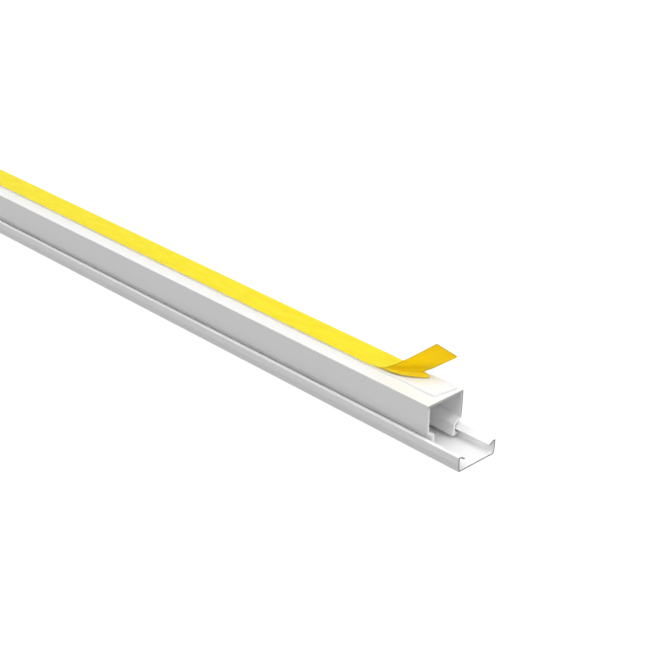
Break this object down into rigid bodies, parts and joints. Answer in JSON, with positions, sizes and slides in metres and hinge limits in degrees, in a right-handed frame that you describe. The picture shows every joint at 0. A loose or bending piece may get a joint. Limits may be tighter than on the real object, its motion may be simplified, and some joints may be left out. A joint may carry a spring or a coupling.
{
  "type": "cord cover raceway",
  "caption": "Straight self-adhesive cord cover raceway: square plastic channel with snap legs, a lipped cover that slides along it, foam tape and a peeling yellow release liner.",
  "frame": {"origin": "middle of the cover's outer face, which the raceway lies on", "axes": "+X along the raceway towards the end where the cover stands out, +Z from the cover's outer face to the adhesive side, +Y the side that the peeled end of the liner leans to"},
  "size_m": [0.4158, 0.0216, 0.0376],
  "materials": {
    "white_pvc": "satin white extruded PVC",
    "foam_tape": "matt white polyethylene foam",
    "yellow_liner": "smooth coated yellow release paper, amber underside"
  },
  "bodies": {
    "base": {"base_channel": "white_pvc", "adhesive_tape": "foam_tape", "release_liner": "yellow_liner"},
    "cover": {"cover": "white_pvc"}
  },
  "joints": [
    {"name": "cover_slide", "type": "slide", "parent": "base", "child": "cover", "axis": [1, 0, 0], "range_m": [-0.0158, 0.3842]}
  ]
}
